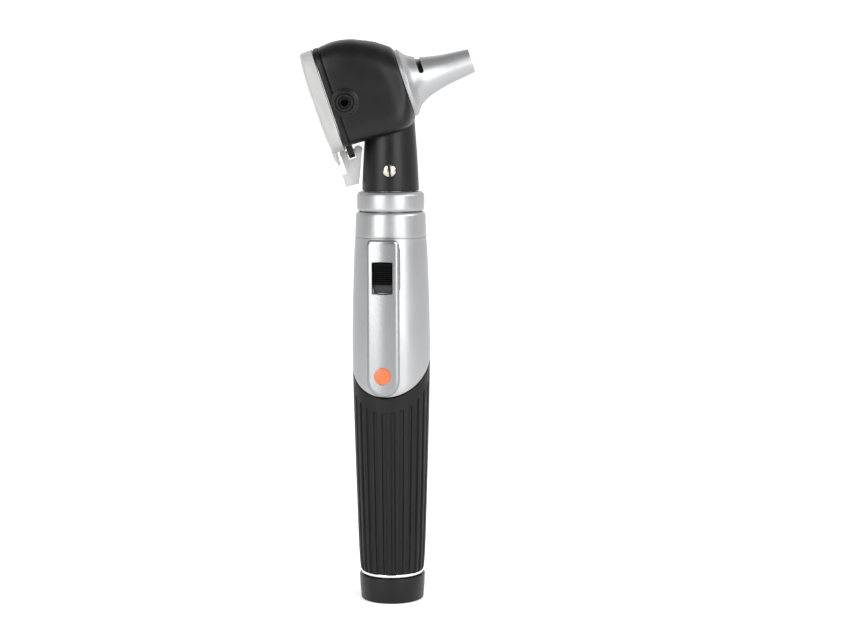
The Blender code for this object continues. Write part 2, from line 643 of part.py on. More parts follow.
def make_bezel():
    low_x, high_x = BEZEL_X
    bezel = loft("rear_bezel", [[rear_ring(low_x, 0.4), rear_ring(low_x + 0.5, 0), rear_ring(high_x, 0)]],
                 OPTICAL, BLACK_PLASTIC)
    _, _, pivot_z = WINDOW_PIVOT
    lug_outline = arc((0, pivot_z), 1.9, 180, 360, 12) + [(1.9, -11.0), (-1.9, -11.0)]
    middle = ((low_x + high_x) / 2, 0, 0)
    join(bezel, plate("bezel_lug", lug_outline, high_x - low_x, OPTICAL, at=middle, turn=FACING_X))
    cut(
        bezel,
        loft("bezel_opening", [[rear_ring(low_x - 1, BEZEL_RIM), rear_ring(high_x + 1, BEZEL_RIM)]], OPTICAL),
        pivot_hole("lug_pin_hole", OPTICAL),
    )
    outer, inner = BEZEL_RIM + GAP, BEZEL_RIM + 1.3
    seal_rings = [rear_ring(low_x + 0.1, outer), rear_ring(high_x - 0.3, outer)]
    opening_rings = [rear_ring(low_x - 1, inner), rear_ring(high_x + 1, inner)]
    seal = loft("window_seal", [seal_rings], OPTICAL, SEAL_RUBBER)
    cut(seal, loft("seal_opening", [opening_rings], OPTICAL))


def pivot_hole(name, frame):
    return cylinder(name, 0.9, (-32, -18), frame, at=(0, *WINDOW_PIVOT[1:]), turn=TO_X, steps=16)


def window_stack(gap=0.0):
    """The domed window form, and the same form drawn in by a gap at its flat face."""
    rows = [(WINDOW_DOME[0][0] - gap, 0.0)] + list(WINDOW_DOME[1:])
    return [section(x, -14.0, 19.2, 12.5, 4.0, 4.0, inset=inset) for x, inset in rows]


def lens_prism(name, gap):
    outline = rounded_outline(-10.8 + gap, 16.0 - gap, 9.6 - gap, 2.6)
    return loft(name, [[[(x, y, z) for y, z in outline] for x in (-32, -22)]], WINDOW)


def make_window():
    frame = loft("window_frame", [window_stack()], WINDOW, CLEAR_PLASTIC)
    _, _, pivot_z = WINDOW_PIVOT
    claw_outline = (
        [(-24.7, -12.8), (-26.7, -12.8), (-26.7, -21.3), (-28.4, -21.3), (-28.4, -25.3), (-24.1, -25.6)]
        + arc((-20.95, pivot_z), 1.25, -30, 180, 8)
        + [(-22.2, -17.4), (-24.7, -17.4)]
    )
    flap_outline = [(-27.9, -12.8), (-29.0, -12.8), (-29.0, -14.5), (-28.8, -16.4), (-28.0, -18.2),
                    (-27.9, -16.0)]
    cut(frame, lens_prism("lens_hole", 0.0))
    join(
        frame,
        plate("window_claw", claw_outline, CLAW_WIDTH, WINDOW, turn=TO_MINUS_Y),
        plate("pull_flap", flap_outline, 12.0, WINDOW, turn=TO_MINUS_Y),
    )
    cut(frame, pivot_hole("claw_pin_hole", WINDOW))
    lens = loft("magnifier_lens", [window_stack(GAP)], WINDOW, CLEAR_PLASTIC)
    keep_inside(lens, lens_prism("lens_form", GAP))
    cylinder("window_pivot_pin", 0.6, (-26.9, -19.6), OPTICAL, NICKEL, at=(0, *WINDOW_PIVOT[1:]),
             turn=TO_X, steps=16)


def bayonet_rings(start, end):
    """Sections along one curved slot. Angles run from the near side over the top."""
    low_x, high_x = BAYONET_X
    middle_x = (low_x + high_x) / 2
    half = (high_x - low_x) / 2
    taper = 3
    spans = 8
    step = (end - start - 2 * taper) / spans
    angles = [start] + [start + taper + step * i for i in range(spans + 1)] + [end]
    rings = []
    for angle in angles:
        share = 0.45 if angle in (start, end) else 1.0
        direction = Vector((0, -math.cos(math.radians(angle)), math.sin(math.radians(angle))))
        corners = [(5.0, -half), (5.0, half), (8.6, half), (8.6, -half)]
        rings.append([direction * r + Vector((middle_x + x * share, 0, 0)) for r, x in corners])
    return rings


def make_cone():
    profile = list(CONE_OUTSIDE)
    profile += [(CONE_SPIGOT_R, 0.0), (CONE_SPIGOT_R, CONE_SPIGOT_X), (CONE_INSIDE[0][0], CONE_SPIGOT_X)]
    profile += list(CONE_INSIDE)
    cone = turned("speculum_cone", profile, OPTICAL, SATIN_SILVER, turn=TO_X, ring=True)
    cut(cone, loft("bayonet_slots", [bayonet_rings(start, end) for start, end in BAYONET_ARCS], OPTICAL))
    tube("cone_seal", 9.1, 8.2, (-1.0, -0.3), OPTICAL, SEAL_RUBBER, turn=TO_X)

    rear_x, front_x = SLEEVE_X
    outside = [(r - GAP, x) for r, x in reversed(CONE_INSIDE[1:-1])]
    outside = [(CONE_INSIDE[-1][0] - GAP, front_x)] + outside + [(CONE_INSIDE[0][0] - GAP, rear_x)]
    rear_wall, front_wall = SLEEVE_WALL
    inside = [(r - front_wall - (rear_wall - front_wall) * (front_x - x) / (front_x - rear_x), x)
              for r, x in reversed(outside)]
    turned("fibre_sleeve", outside + inside, OPTICAL, BLACK_PLASTIC, turn=TO_X, steps=24, ring=True)


def make_fibre_bundle():
    """The light guide: up the neck from the lamp, then forwards to the foot of the sleeve."""
    corners = ((0, 0, 136.8), (0, 0, 146), (0.2, 0, 151), (0.9, 0, 155.5), (2.0, 0, 158.6), (2.6, 0, 159.7))
    wire("fibre_bundle", [Vector(p) for p in corners], 1.3, HEAD, FIBRE)


make_handle_shells()
make_handle_core()
make_base_cap()
make_clip()
make_switch()
make_connector()
make_neck_screw()
make_housing()
make_port()
make_bezel()
make_window()
make_cone()
make_fibre_bundle()

for part in PARTS.objects:
    if part.type == "MESH" and len(part.data.polygons):
        part.data.shade_smooth()
        part.data.set_sharp_from_angle(angle=math.radians(35))
bpy.context.view_layer.update()
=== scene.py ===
"""The looks of a pocket otoscope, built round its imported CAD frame. Run in Blender 4.5.

Sizes are written in millimetres and become metres as each mesh is made. A piece is drawn in the row frame,
in the optical frame (x along the optical axis to the ear tip, z up across the head) or in the clip frame
(-y points straight out through the clip), and its mesh is stored in the row frame.
"""

import json
import math

import bmesh
import bpy
from mathutils import Matrix, Vector


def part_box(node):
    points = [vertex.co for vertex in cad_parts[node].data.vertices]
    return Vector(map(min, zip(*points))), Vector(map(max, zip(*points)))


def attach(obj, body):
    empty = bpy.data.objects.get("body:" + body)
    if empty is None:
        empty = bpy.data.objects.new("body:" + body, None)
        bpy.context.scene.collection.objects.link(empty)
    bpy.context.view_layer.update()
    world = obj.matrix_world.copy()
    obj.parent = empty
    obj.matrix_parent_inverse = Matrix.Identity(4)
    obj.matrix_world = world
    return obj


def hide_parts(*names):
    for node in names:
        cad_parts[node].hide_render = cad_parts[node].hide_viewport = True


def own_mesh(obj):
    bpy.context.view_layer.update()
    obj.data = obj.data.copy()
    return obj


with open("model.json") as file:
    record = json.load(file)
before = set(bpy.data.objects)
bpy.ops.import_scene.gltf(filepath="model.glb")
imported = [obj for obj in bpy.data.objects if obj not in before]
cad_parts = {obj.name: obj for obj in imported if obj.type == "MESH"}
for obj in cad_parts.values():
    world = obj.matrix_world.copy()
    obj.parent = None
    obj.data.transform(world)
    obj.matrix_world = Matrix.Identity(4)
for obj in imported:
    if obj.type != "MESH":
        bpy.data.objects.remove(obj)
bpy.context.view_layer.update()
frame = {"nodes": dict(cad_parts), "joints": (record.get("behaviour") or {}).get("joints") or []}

MM = 0.001
GAP = 0.3
ROUND_STEPS = 144
SMALL_STEPS = 64
OVAL_STEPS = 128
CORNER_STEPS = 4


def heights(node):
    """Lowest and highest z of a CAD node, in millimetres."""
    low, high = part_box(node)
    return low.z / MM, high.z / MM


# Handle heights, from the frame.
CAP_TOP = heights("base_cap")[1]
RING_Z = heights("base_ring")
GRIP_BOTTOM = heights("lower_grip")[0]
SHELL_TOP = heights("upper_shell")[1]
COLLAR_Z = heights("top_collar")
CLIP_BOTTOM, CLIP_TOP = heights("clip_plate")
NECK_BOTTOM = heights("head_housing")[0]
INSERT_Z = heights("connector_insert")

GRIP_BORE_R = 8.9
SHELL_BORE_R = 9.9

# The handle's outer profile, as (height, radius), which is drawn as one smooth curve.
HANDLE_CURVE = (
    (9.5, 10.25), (12.0, 10.5), (18.0, 10.84), (34.0, 11.36), (49.8, 11.82), (65.6, 12.22), (73.4, 12.38),
    (83.0, 12.5), (96.8, 12.25), (104.5, 12.03), (112.3, 11.75), (118.0, 11.4), (126.0, 11.1),
)

# The slanted joint between the silver shell and the black grip.
JOINT_MID_Z = 77.65
JOINT_SLOPE = 10.4 / 12.3
JOINT_HALF_GAP = 0.2
JOINT_ROUND = 0.3
SHELL_EDGE_R = 12.4

# The grip's flutes, which begin at a drop below the slanted joint, and the height where its rows turn level.
FLUTES = 26
FLUTE_TURN = math.radians(2.8)
FLUTE_HALF_WIDTH = 0.66
FLUTE_DEPTH = 0.5
FLUTE_LIP = 0.1
FLUTE_SLOPE = 0.26
FLUTE_TOP_DROP = 4.6
GRIP_MEAN_R = 12.0
LEVEL_Z = 12.0

# Clip, switch and badge, in the clip frame.
CLIP_HALF_WIDTH = 5.25
CLIP_INNER = 13.4
CLIP_OUTER = 15.2
CLIP_CROWN = 0.6
CLIP_EDGE_WIDTH = 1.2
CLIP_EDGE_DEPTH = 0.75
CLIP_WALL = 0.8
CLIP_WALL_Z = (102.0, 115.0)
CLIP_PIVOT = (0.0, -12.0, 114.5)
CLIP_PIN_R = 0.6
WINDOW_Z = (100.7, 110.8)
WINDOW_HALF_WIDTH = 3.35
SWITCH_HALF_WIDTH = WINDOW_HALF_WIDTH - GAP
SWITCH_Z = (103.6, 110.5)
SWITCH_RIDGES = 9
STEM_Z = (108.3, 110.1)
SLOT_Z = (105.0, 110.4)
SLOT_HALF_WIDTH = 1.2
BADGE_Z = 74.7
BADGE_R = 2.6
MARK_Z = 102.4

# The head: its origin in the row frame, then sizes in the optical frame.
FLANGE_CENTRE = (4.8, 0.0, 166.7)
WALL = 1.6
# Body sections: place along the axis, lowest and highest z, half width in y, and squareness above and below.
BODY_SECTIONS = (
    (-22.3, -13.15, 19.3, 11.5, 3.4, 7.0),
    (-17.0, -13.35, 19.5, 11.7, 3.2, 7.0),
    (-12.0, -13.8, 18.5, 11.8, 3.0, 7.0),
    (-9.0, -14.0, 17.2, 11.8, 2.8, 7.0),
    (-5.6, -14.1, 15.6, 11.7, 2.5, 6.0),
    (-2.8, -13.5, 13.7, 11.3, 2.25, 4.0),
    (-1.0, -12.1, 12.3, 11.0, 2.1, 2.7),
    (-0.3, -11.2, 11.3, 10.7, 2.05, 2.1),
)
CAVITY_FRONT = (-3.4, -10.0, 12.0, 9.6, 2.3, 3.0)
BEZEL_X = (-24.4, -22.4)
BEZEL_RIM = 2.2
WINDOW_PIVOT_Z = -15.1
PIVOT_HOLE_R = 0.9
CLAW_HALF_WIDTH = 1.2
FLAP_HALF_WIDTH = 6.0
# Outlines of the window and its lens: lowest and highest z, half width in y, and squareness above and below.
WINDOW_OUTLINE = (-14.0, 19.2, 12.5, 4.0, 4.0)
LENS_OUTLINE = (-10.8, 16.0, 9.6, 2.6, 2.6)
WINDOW_FACE_X = -24.7
PORT_CENTRE = (-19.8, 0.0, 0.0)
TIP_X = 22.1
# Cone profiles, as (place along the axis, radius).
CONE_OUTSIDE = (
    (1.1, 10.9), (1.9, 9.4), (2.9, 8.3), (3.8, 7.72), (5.2, 6.95), (6.6, 6.4), (9.6, 5.6), (12.7, 4.95),
    (15.6, 4.55), (18.2, 4.25), (TIP_X, 3.8),
)
CONE_INSIDE = ((TIP_X, 3.15), (18.2, 3.5), (12.7, 4.05), (9.6, 4.7), (6.6, 5.5), (5.0, 6.0), (0.0, 6.2))
CONE_SPIGOT_R = 7.9
CONE_SPIGOT_X = -3.0
SLEEVE_REAR_X = -2.5
SLEEVE_FRONT_X = 21.8
# The cone's two bayonet slots, by angle in degrees, with the cone's radius at each side of a slot.
BAYONET_X = (5.2, 6.7)
BAYONET_R = (6.95, 6.4)
BAYONET_MEAN_R = 6.7
BAYONET_ARCS = ((10, 115), (195, 255))

# The neck screw, in the row frame.
SCREW_Z = 139.1
SCREW_X = -0.2
SCREW_R = 2.12
SCREW_HOLE_R = 1.5
SCREW_SLOT_TURN = -8

# The camera: its place in metres, how far it looks down and how far it leans, in degrees.
CAMERA_PLACE = (0.01135, -0.592, 0.1582)
CAMERA_PITCH = 6.48
CAMERA_ROLL = -0.15
CAMERA_LENS = 78.1

# Soft lights, all at one distance from a point on the handle, in metres: azimuth, elevation, size and power.
SOFTBOXES = {
    "left_softbox": (-38, 14, (0.5, 1.0), 5.9),
    "right_softbox": (32, 14, (0.5, 1.0), 5.6),
    "high_softbox": (74, 32, (0.6, 0.45), 2.8),
}
LIGHT_DISTANCE = 0.9
LIGHT_TARGET_Z = 0.1

# How bright the world is as a light, and as the camera sees it past the floor.
WORLD_LIGHT = 0.42
WORLD_SEEN = 0.76


def joint_of(name):
    return next(joint for joint in frame["joints"] if joint["name"] == name)


# The frames that the head and the clip are drawn in, turned as their joints' axes are.
SWIVEL_AXIS = Vector(joint_of("window_swivel")["axis"])
OPTICAL_TILT = math.atan2(SWIVEL_AXIS.z, SWIVEL_AXIS.x)
OPTICAL = Matrix.Translation(Vector(FLANGE_CENTRE) * MM) @ Matrix.Rotation(-OPTICAL_TILT, 4, "Y")
CLIP_AXIS = Vector(joint_of("clip_open")["axis"])
CLIP_TURN = math.atan2(-CLIP_AXIS.y, -CLIP_AXIS.x)
CLIP = Matrix.Rotation(CLIP_TURN, 4, "Z")

# Ways to turn a piece that is drawn along its own z.
TO_X = Matrix.Rotation(math.radians(90), 4, "Y")
TO_MINUS_Y = Matrix.Rotation(math.radians(90), 4, "X")


def shifted(x, y, z):
    return Matrix.Translation(Vector((x, y, z)) * MM)


# ---- curves and outlines -------------------------------------------------------------------------------


def eased(rows, place):
    """The values of a table of (place, values...) at a place, on a smooth curve through its rows."""
    rows = sorted(rows)
    place = min(max(place, rows[0][0]), rows[-1][0])
    index = max(i for i in range(len(rows) - 1) if rows[i][0] <= place)
    before, start, end, after = (rows[min(max(index + k, 0), len(rows) - 1)] for k in (-1, 0, 1, 2))
    width = end[0] - start[0]
    t = (place - start[0]) / width
    values = []
    for low, a, b, high in zip(before[1:], start[1:], end[1:], after[1:]):
        slope_a = (b - low) / (end[0] - before[0]) * width
        slope_b = (high - a) / (after[0] - start[0]) * width
        values.append(
            a * (2 * t**3 - 3 * t**2 + 1) + slope_a * (t**3 - 2 * t**2 + t)
            + b * (3 * t**2 - 2 * t**3) + slope_b * (t**3 - t**2)
        )
    return values


def curve_points(rows, start, end, count):
    """Points (radius, height) at even steps along a table of (height, radius)."""
    places = [start + (end - start) * i / count for i in range(count + 1)]
    return [(eased(rows, place)[0], place) for place in places]


def softened(profile, closed=False):
    """A profile with its corners rounded. A corner is (radius, height, rounding), or sharp as a pair."""
    made = []
    for i, (x, y, *rounding) in enumerate(profile):
        ends = not closed and i in (0, len(profile) - 1)
        if not rounding or ends:
            made.append((x, y))
            continue
        corner = Vector((x, y))
        sides = []
        for other in (profile[i - 1], profile[(i + 1) % len(profile)]):
            way = Vector(other[:2]) - corner
            sides.append(corner + way.normalized() * min(rounding[0], way.length / 2))
        for k in range(CORNER_STEPS + 1):
            t = k / CORNER_STEPS
            point = sides[0] * (1 - t) ** 2 + corner * 2 * t * (1 - t) + sides[1] * t**2
            made.append((point.x, point.y))
    return made


def arc(centre, radius, start, end, count):
    """Points on an arc, by angle in degrees."""
    angles = [math.radians(start + (end - start) * i / count) for i in range(count + 1)]
    return [(centre[0] + radius * math.cos(a), centre[1] + radius * math.sin(a)) for a in angles]


def oval(low, high, half_y, upper, lower, inset=0.0):
    """A superellipse in y and z, whose squareness is 2 for an ellipse and more towards a rectangle."""
    middle = (low + high) / 2
    half_z = (high - low) / 2 - inset
    half_y -= inset
    points = []
    for i in range(OVAL_STEPS):
        cosine = math.cos(2 * math.pi * (i + 0.5) / OVAL_STEPS)
        sine = math.sin(2 * math.pi * (i + 0.5) / OVAL_STEPS)
        squareness = upper if sine > 0 else lower
        reach = (abs(cosine) ** squareness + abs(sine) ** squareness) ** (-1 / squareness)
        points.append((half_y * reach * cosine, middle + half_z * reach * sine))
    return points


def oval_ring(x, outline, inset=0.0):
    return [(x, y, z) for y, z in oval(*outline, inset=inset)]


# ---- meshes --------------------------------------------------------------------------------------------


def grid_mesh(rows, place=Matrix(), loop=False):
    """Skins rows of points, each a closed ring. The rows close on themselves as a loop, or get end faces."""
    mesh = bpy.data.meshes.new("grid")
    bm = bmesh.new()
    lines = [[bm.verts.new(Vector(point) * MM) for point in row] for row in rows]
    pairs = list(zip(lines, lines[1:]))
    if loop:
        pairs.append((lines[-1], lines[0]))
    for near, far in pairs:
        for i in range(len(near)):
            bm.faces.new((near[i - 1], near[i], far[i], far[i - 1]))
    if not loop:
        bm.faces.new(lines[0])
        bm.faces.new(lines[-1])
    bmesh.ops.remove_doubles(bm, verts=bm.verts, dist=0.000002)
    bmesh.ops.recalc_face_normals(bm, faces=bm.faces)
    bm.to_mesh(mesh)
    bm.free()
    mesh.transform(place)
    return mesh


def lathe(profile, place=Matrix(), ring=False, steps=ROUND_STEPS):
    """Turns a profile of (radius, height) about z. A ring's profile closes on itself."""
    turns = [2 * math.pi * i / steps for i in range(steps)]
    rows = [[(r * math.cos(a), r * math.sin(a), z) for a in turns] for r, z in profile]
    return grid_mesh(rows, place, loop=ring)


def rod(radius, low, high, place=Matrix(), chamfer=0.0):
    """A round bar. As a cutter, a chamfer flares its high end."""
    profile = [(0, low), (radius, low), (radius, high - chamfer), (radius + chamfer, high), (0, high)]
    return lathe(profile, place, steps=SMALL_STEPS)


def block(low, high, place=Matrix(), round_by=0.0):
    """A box between two corners, with its edges rounded."""
    mesh = bpy.data.meshes.new("block")
    bm = bmesh.new()
    bmesh.ops.create_cube(bm, size=1)
    bmesh.ops.scale(bm, vec=(Vector(high) - Vector(low)) * MM, verts=bm.verts)
    bmesh.ops.translate(bm, vec=(Vector(high) + Vector(low)) / 2 * MM, verts=bm.verts)
    if round_by:
        bmesh.ops.bevel(bm, geom=bm.edges, offset=round_by * MM, segments=3, profile=0.5, affect="EDGES")
    bm.to_mesh(mesh)
    bm.free()
    mesh.transform(place)
    return mesh


def side_plate(outline, half_width, round_by, place=Matrix()):
    """An outline in x and z with its width along y, whose two faces draw in a little at their edges."""
    ends = [(half_width, round_by), (half_width - round_by * 0.3, round_by * 0.3), (half_width - round_by, 0)]
    spans = [(-y, inset) for y, inset in ends] + ends[::-1]
    return grid_mesh([[(x, y, z) for x, z in drawn_in(outline, inset)] for y, inset in spans], place)


def drawn_in(outline, inset):
    """A closed outline moved inwards by an inset, corner by corner."""
    points = [Vector(point) for point in outline]
    area = sum(a.x * b.y - b.x * a.y for a, b in zip(points, points[1:] + points[:1]))
    side = 1 if area > 0 else -1
    made = []
    for i, point in enumerate(points):
        before = (point - points[i - 1]).normalized()
        after = (points[(i + 1) % len(points)] - point).normalized()
        normal = Vector((-(before + after).y, (before + after).x)) * side
        if normal.length < 0.01:
            made.append(tuple(point))
            continue
        normal.normalize()
        spread = max(normal.dot(Vector((-before.y, before.x)) * side), 0.4)
        made.append(tuple(point + normal * inset / spread))
    return made


def carve(mesh, cutters, operation="DIFFERENCE"):
    """The mesh with each cutter taken away from it, or joined to it."""
    helpers = [bpy.data.objects.new("carve", made) for made in (mesh, *cutters)]
    for helper in helpers:
        bpy.context.scene.collection.objects.link(helper)
    for helper in helpers[1:]:
        modifier = helpers[0].modifiers.new("Carve", "BOOLEAN")
        modifier.operation = operation
        modifier.solver = "MANIFOLD"
        modifier.object = helper
    graph = bpy.context.evaluated_depsgraph_get()
    made = bpy.data.meshes.new_from_object(helpers[0].evaluated_get(graph))
    for helper in helpers:
        bpy.data.objects.remove(helper, do_unlink=True)
    return made


def united(*meshes):
    """Meshes of one piece that touch nowhere, or that needn't be welded, as one mesh."""
    bm = bmesh.new()
    for mesh in meshes:
        bm.from_mesh(mesh)
    made = bpy.data.meshes.new("united")
    bm.to_mesh(made)
    bm.free()
    return made


def piece(name, mesh, slot, body, *nodes, sharp=35, finish=None):
    """Shows a mesh as a piece in a slot's finish, which rides on a body and stands for CAD nodes."""
    mesh.name = name
    mesh.materials.clear()
    mesh.materials.append(finish or FINISHES[slot])
    mesh.shade_smooth()
    mesh.set_sharp_from_angle(angle=math.radians(sharp))
    obj = bpy.data.objects.new(name, mesh)
    bpy.context.scene.collection.objects.link(obj)
    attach(obj, body)
    if nodes:
        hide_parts(*nodes)
    return obj


# ---- materials -----------------------------------------------------------------------------------------


class Nodes:
    """A short way to add nodes to a material: each call makes a node and returns one of its outputs."""

    def __init__(self, name):
        self.material = bpy.data.materials.new(name)
        self.material.use_nodes = True
        self.tree = self.material.node_tree
        self.shader = self.tree.nodes["Principled BSDF"]
        self.place = self.add("TexCoord").outputs["Object"]

    def add(self, kind, **settings):
        node = self.tree.nodes.new("ShaderNode" + kind)
        for key, value in settings.items():
            setattr(node, key, value)
        return node

    def noise(self, scale, detail=2.0, stretch=None, lean=0.0):
        """Noise at a scale in features per metre, drawn out along the axes of a frame that leans about y."""
        node = self.add("TexNoise")
        node.inputs["Scale"].default_value = scale
        node.inputs["Detail"].default_value = detail
        source = self.place
        if stretch:
            mapping = self.add("Mapping", vector_type="TEXTURE")
            mapping.inputs["Rotation"].default_value = (0, lean, 0)
            mapping.inputs["Scale"].default_value = stretch
            self.tree.links.new(source, mapping.inputs["Vector"])
            source = mapping.outputs["Vector"]
        self.tree.links.new(source, node.inputs["Vector"])
        return node.outputs["Fac"]

    def between(self, value, low, high):
        """Spreads the middle of a noise over a range."""
        node = self.add("MapRange")
        for key, number in (("From Min", 0.3), ("From Max", 0.7), ("To Min", low), ("To Max", high)):
            node.inputs[key].default_value = number
        self.tree.links.new(value, node.inputs["Value"])
        return node.outputs["Result"]

    def mixed(self, value, first, second):
        node = self.add("Mix", data_type="RGBA")
        node.inputs["A"].default_value = (*first, 1)
        node.inputs["B"].default_value = (*second, 1)
        self.tree.links.new(value, node.inputs["Factor"])
        return node.outputs["Result"]

    def bump(self, value, depth, over=None):
        """A bump whose depth is in millimetres, on top of another bump."""
        node = self.add("Bump")
        node.inputs["Distance"].default_value = depth * MM
        self.tree.links.new(value, node.inputs["Height"])
        if over:
            self.tree.links.new(over, node.inputs["Normal"])
        return node.outputs["Normal"]

    def into(self, socket, source):
        self.tree.links.new(source, self.shader.inputs[socket])

    def fix(self, **numbers):
        for key, value in numbers.items():
            self.shader.inputs[key.replace("_", " ")].default_value = value


def tinted(colour, share):
    return tuple(min(channel * share, 1.0) for channel in colour)


def finish_of(slot, colour, roughness, grain=3500, depth=0.004, spread=0.12, mottle=180, stretch=None,
              lean=0.0, **numbers):
    """A moulded or painted finish: fine grain in the bump and colour, and slow changes of gloss."""
    made = Nodes(slot + "_finish")
    fine = made.noise(grain, 3.0, stretch, lean)
    slow = made.noise(mottle, 3.0)
    shades = tinted(colour, 1 - spread), tinted(colour, 1 + spread)
    made.into("Base Color", made.mixed(made.between(fine, 0, 1), *shades))
    made.into("Roughness", made.between(slow, roughness * 0.9, roughness * 1.12))
    made.into("Normal", made.bump(fine, depth, made.bump(slow, depth * 0.6)))
    made.fix(**numbers)
    return made.material


FINISHES = {
    "satin_silver": finish_of("satin_silver", (0.4, 0.404, 0.41), 0.36, 5200, 0.003, 0.04, 120, Metallic=0.9),
    "clip_silver": finish_of("clip_silver", (0.3, 0.303, 0.309), 0.23, 3200, 0.0015, 0.1, 150, Metallic=0.95),
    "black_plastic": finish_of("black_plastic", (0.002, 0.0018, 0.002), 0.35, 3600, 0.022, 0.3, 200,
                               Specular_IOR_Level=0.32),
    "grip_black": finish_of("grip_black", (0.006, 0.0053, 0.0053), 0.5, 5000, 0.014, 0.25, 220,
                            Specular_IOR_Level=0.24),
    "switch_black": finish_of("switch_black", (0.0012, 0.0012, 0.0013), 0.6, 6000, 0.006, 0.25,
                              Specular_IOR_Level=0.08),
    "clear_plastic": finish_of("clear_plastic", (0.54, 0.534, 0.52), 0.24, 620, 0.015, 0.08, 90, (1, 1, 18),
                               -OPTICAL_TILT, Transmission_Weight=0.36, IOR=1.49),
    "chrome": finish_of("chrome", (0.8, 0.8, 0.82), 0.16, 5000, 0.0006, 0.03, Metallic=1.0),
    "nickel": finish_of("nickel", (0.52, 0.48, 0.41), 0.13, 4500, 0.001, 0.06, Metallic=1.0),
    "brass": finish_of("brass", (0.72, 0.53, 0.24), 0.3, 2600, 0.002, 0.1, Metallic=1.0),
    "spring_steel": finish_of("spring_steel", (0.5, 0.5, 0.52), 0.3, 4000, 0.0015, 0.12, Metallic=1.0),
    "seal_rubber": finish_of("seal_rubber", (0.012, 0.012, 0.012), 0.7, 4500, 0.006, 0.2),
    "insulator": finish_of("insulator", (0.52, 0.46, 0.36), 0.6, 2200, 0.006, 0.12),
    "battery_wrap": finish_of("battery_wrap", (0.1, 0.13, 0.2), 0.36, 2500, 0.002, 0.1, Metallic=0.3),
    "fibre": finish_of("fibre", (0.78, 0.76, 0.68), 0.35, 6500, 0.01, 0.12, stretch=(1, 1, 10)),
    "lamp_glass": finish_of("lamp_glass", (0.97, 0.97, 0.95), 0.05, 600, 0.001, 0.01,
                            Transmission_Weight=0.95, IOR=1.5),
    "orange": finish_of("orange", (0.82, 0.12, 0.025), 0.35, 3500, 0.002, 0.05, Coat_Weight=0.4),
}
# Painted shade for the neck screw's slot: a dark finish put where shade falls in the recess, not a colour of
# the screw.
SLOT_SHADE_FINISH = finish_of("painted_slot_shade", (0.03, 0.024, 0.018), 0.6, 5000, 0.004)
FLOOR_FINISH = finish_of("switch_floor", (0.012, 0.012, 0.0125), 0.5, 6000, 0.006)
# The ring mark is real raised relief on the switch floor; its lighter colour is a painted highlight on that
# ring.
MARK_HIGHLIGHT_FINISH = finish_of("switch_mark_highlight", (0.04, 0.04, 0.042), 0.4, 6000, 0.004)
LENS_FINISH = finish_of("lens", (0.97, 0.975, 0.97), 0.04, 500, 0.0008, 0.005,
                        Transmission_Weight=0.97, IOR=1.49)


# ---- handle --------------------------------------------------------------------------------------------


def handle_radius(z):
    return eased(HANDLE_CURVE, z)[0]


def joint_z(angle, radius, offset):
    """Height of the slanted joint at an angle round the handle from the clip."""
    return JOINT_MID_Z + offset - JOINT_SLOPE * radius * math.cos(angle)


def rounded_edge(size):
    """(distance in, distance back) along a rounded edge, from its face to its side."""
    angles = [math.pi / 2 * i / CORNER_STEPS for i in range(CORNER_STEPS + 1)]
    return [(size * (1 - math.sin(a)), size * (1 - math.cos(a))) for a in angles]


def wall_point(angle, radius, z):
    """A point at an angle round the handle from the clip."""
    turn = CLIP_TURN - math.pi / 2 + angle
    return (radius * math.cos(turn), radius * math.sin(turn), z)


def flute_depth(across, drop):
    """Depth of a flute at a distance across it and a distance below the slanted joint."""
    centre = FLUTE_TOP_DROP + FLUTE_HALF_WIDTH
    away = math.hypot(across, max(centre - drop, 0))
    share = min(max((FLUTE_HALF_WIDTH + FLUTE_LIP - away) / FLUTE_SLOPE, 0), 1)
    return FLUTE_DEPTH * share * share * (3 - 2 * share)


def make_lower_grip():
    """Rows follow the slanted joint at the top and turn level towards the bottom."""
    across = (-1.1, -0.8, -0.74, -0.68, -0.62, -0.55, -0.3, 0, 0.3, 0.55, 0.62, 0.68, 0.74, 0.8, 1.1, 1.45)
    centres = [2 * math.pi * i / FLUTES + FLUTE_TURN - CLIP_TURN for i in range(FLUTES)]
    columns = [(centre + t / GRIP_MEAN_R, t / GRIP_MEAN_R) for centre in centres for t in across]

    def wall(angle, off_centre, z, inset, drop):
        radius = handle_radius(z) - inset
        return wall_point(angle, radius - flute_depth(off_centre * radius, drop), z)

    def slanted_row(inset, drop, share=0.0):
        """Share runs from 0 along the slanted edge to 1 at the level rows."""
        points = []
        for angle, off_centre in columns:
            radius = handle_radius(joint_z(angle, GRIP_MEAN_R, 0)) - inset
            top = joint_z(angle, radius, -JOINT_HALF_GAP)
            z = (top - drop) * (1 - share) + LEVEL_Z * share
            points.append(wall(angle, off_centre, z, inset, top - z))
        return points

    drops = [0.8, 2.0, 3.4] + [4.3 + 0.13 * i for i in range(12)]
    rows = [[wall_point(a, GRIP_BORE_R, joint_z(a, GRIP_BORE_R, -JOINT_HALF_GAP)) for a, _ in columns]]
    rows += [slanted_row(inset, drop) for inset, drop in rounded_edge(JOINT_ROUND)]
    rows += [slanted_row(0, drop) for drop in drops]
    rows += [slanted_row(0, drops[-1], i / 14) for i in range(1, 15)]
    for inset, up in reversed(rounded_edge(0.55)):
        rows.append([wall(angle, off, GRIP_BOTTOM + up, inset, LEVEL_Z) for angle, off in columns])
    rows.append([wall_point(a, GRIP_BORE_R, GRIP_BOTTOM) for a, _ in columns])
    piece("lower_grip_shell", grid_mesh(rows, loop=True), "grip_black", "handle", "lower_grip", sharp=50)


